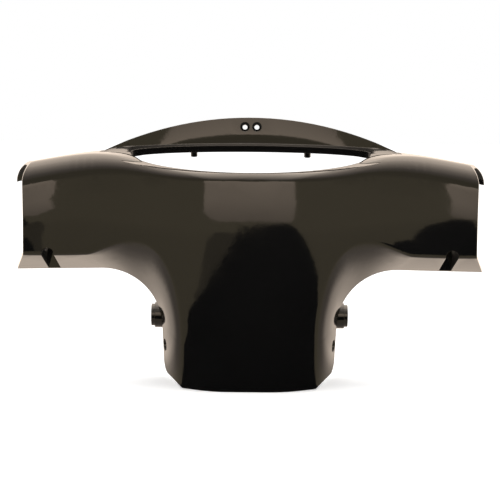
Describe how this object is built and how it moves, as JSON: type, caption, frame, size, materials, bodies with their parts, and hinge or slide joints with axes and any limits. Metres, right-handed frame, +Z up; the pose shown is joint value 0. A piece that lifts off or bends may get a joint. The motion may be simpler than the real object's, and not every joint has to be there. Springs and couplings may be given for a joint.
{
  "type": "scooter handlebar cover",
  "caption": "Rider-side handlebar cover of a scooter: a gloss moulded shell with an oval instrument opening, arched brow, hollow swept arms and a hollow neck.",
  "frame": {"origin": "midway between the two arm screws, on the parting plane where the front cover meets this one", "axes": "+X to the rider's right, +Y forward and away from the rider, +Z up"},
  "size_m": [0.413, 0.1107, 0.2302],
  "materials": {
    "cover": "gloss black, self-coloured moulding"
  },
  "bodies": {
    "root": {"handlebar_cover": "cover"}
  },
  "joints": []
}
